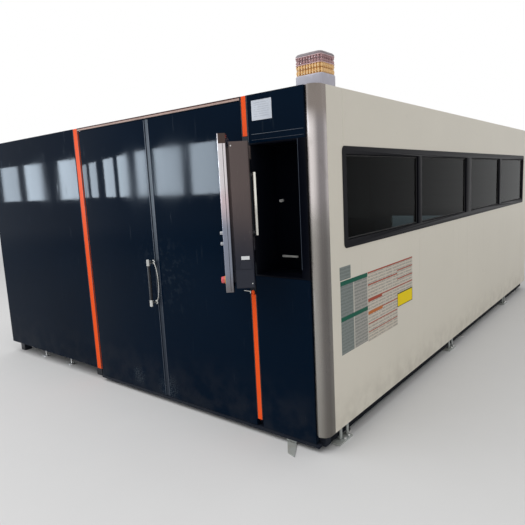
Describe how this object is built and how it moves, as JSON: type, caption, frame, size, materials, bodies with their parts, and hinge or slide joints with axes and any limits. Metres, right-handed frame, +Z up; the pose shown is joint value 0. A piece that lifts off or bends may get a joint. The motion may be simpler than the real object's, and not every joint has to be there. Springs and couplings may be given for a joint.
{
  "type": "fiber laser cutting machine",
  "caption": "Enclosed sheet metal laser cutter with a glazed side, a swung-out control console, a slatted sheet pallet and a travelling bridge inside.",
  "frame": {"origin": "under the middle of the machine's box, on the floor", "axes": "+X to the right seen from the front, +Y to the back along the cabin, +Z up"},
  "size_m": [4.0143, 5.8488, 2.3932],
  "materials": {
    "gloss_navy": "high gloss",
    "navy_body": "satin",
    "orange_trim": "satin",
    "cream_paint": "fine texture",
    "stainless": "brushed",
    "niche_black": "matt",
    "console_grey": "satin",
    "bezel_steel": "brushed",
    "screen_black": "gloss",
    "dark_grey": "matt",
    "chrome": "polished",
    "stop_red": "gloss",
    "start_green": "gloss",
    "window_grey": "satin",
    "dark_glass": "tinted",
    "frame_dark": "satin",
    "base_black": "matt",
    "zinc": "zinc plated",
    "bed_paint": "satin",
    "bridge_paint": "satin",
    "aluminium": "machined",
    "copper_nozzle": "turned",
    "chain_black": "matt",
    "pallet_steel": "scaled",
    "tray_steel": "worn",
    "light_grey": "satin",
    "lamp_grey": "matt",
    "amber_lens": "ribbed",
    "pale_red_lens": "ribbed"
  },
  "bodies": {
    "cabin": {"base_frame": "base_black", "levelling_foot_1": "zinc", "levelling_foot_2": "zinc", "levelling_foot_3": "zinc", "levelling_foot_4": "zinc", "levelling_foot_5": "zinc", "levelling_foot_6": "zinc", "door_pivot_lower": "zinc", "door_pivot_upper": "zinc", "machine_bed": "bed_paint", "energy_chain": "chain_black", "corner_pillar": "stainless", "front_frame": "frame_dark", "fixed_front_panel": "gloss_navy", "corner_header": "gloss_navy", "corner_lower_panel": "gloss_navy", "block_front_cover": "gloss_navy", "block_shell": "navy_body", "stripe_left": "orange_trim", "stripe_right_lower": "orange_trim", "stripe_right_upper": "orange_trim", "niche_housing": "niche_black", "console_hinge": "niche_black", "side_cover_front": "cream_paint", "side_cover_middle": "cream_paint", "side_cover_rear": "cream_paint", "side_cover_end": "cream_paint", "side_header": "cream_paint", "left_wall": "cream_paint", "rear_wall": "cream_paint", "window_frame": "window_grey", "window_pane_1": "dark_glass", "window_pane_2": "dark_glass", "window_pane_3": "dark_glass", "window_pane_4": "dark_glass", "roof_panel": "light_grey", "laser_source": "light_grey", "lamp_base": "lamp_grey", "lamp_cap": "lamp_grey", "lamp_amber_lens": "amber_lens", "lamp_red_lens": "pale_red_lens"},
    "front_door": {"front_door": "gloss_navy", "door_handle": "dark_grey"},
    "console": {"console_housing": "console_grey", "console_bezel": "bezel_steel", "console_screen": "screen_black", "console_keypad": "dark_grey", "console_grip": "chrome"},
    "stop_button": {"stop_button": "stop_red"},
    "start_button": {"start_button": "start_green"},
    "bridge": {"bridge_beam": "bridge_paint"},
    "carriage": {"head_carriage": "bridge_paint"},
    "height_slide": {"height_slide": "dark_grey", "cutting_head": "aluminium", "cutting_nozzle": "copper_nozzle"},
    "pallet": {"sheet_pallet": "pallet_steel"},
    "scrap_tray": {"scrap_tray": "tray_steel"},
    "shutter": {"rear_shutter": "light_grey"},
    "service_door": {"service_door": "navy_body"},
    "service_latch": {"service_latch": "zinc"}
  },
  "joints": [
    {"name": "front_door_hinge", "type": "hinge", "parent": "cabin", "child": "front_door", "pos_m": [-0.31385, -2.50562, 1.1], "axis": [0, 0, -1], "range_deg": [0, 95]},
    {"name": "console_swing", "type": "hinge", "parent": "cabin", "child": "console", "pos_m": [1.51915, -2.54262, 1.5], "axis": [0, 0, 1], "range_deg": [-38, 51]},
    {"name": "stop_button_press", "type": "slide", "parent": "console", "child": "stop_button", "axis": [0.7771, 0.6293, 0], "range_m": [0, 0.005]},
    {"name": "start_button_press", "type": "slide", "parent": "console", "child": "start_button", "axis": [0.7771, 0.6293, 0], "range_m": [0, 0.003], "stiffness_N_per_m": 600},
    {"name": "bridge_travel", "type": "slide", "parent": "cabin", "child": "bridge", "axis": [0, 1, 0], "range_m": [0, 3.05]},
    {"name": "carriage_travel", "type": "slide", "parent": "bridge", "child": "carriage", "axis": [1, 0, 0], "range_m": [-0.7, 0.7]},
    {"name": "height_travel", "type": "slide", "parent": "carriage", "child": "height_slide", "axis": [0, 0, 1], "range_m": [-0.115, 0.03]},
    {"name": "pallet_travel", "type": "slide", "parent": "cabin", "child": "pallet", "axis": [0, 1, 0], "range_m": [0, 3.4]},
    {"name": "scrap_tray_travel", "type": "slide", "parent": "cabin", "child": "scrap_tray", "axis": [0, 1, 0], "range_m": [0, 3.9]},
    {"name": "shutter_travel", "type": "slide", "parent": "cabin", "child": "shutter", "axis": [0, 0, 1], "range_m": [-0.54, 0]},
    {"name": "service_door_hinge", "type": "hinge", "parent": "cabin", "child": "service_door", "pos_m": [-1.98685, -2.27472, 1.1], "axis": [0, 0, 1], "range_deg": [0, 110]},
    {"name": "service_latch_turn", "type": "hinge", "parent": "service_door", "child": "service_latch", "pos_m": [-1.98715, -1.63562, 1.1], "axis": [-1, 0, 0], "range_deg": [0, 90]}
  ]
}
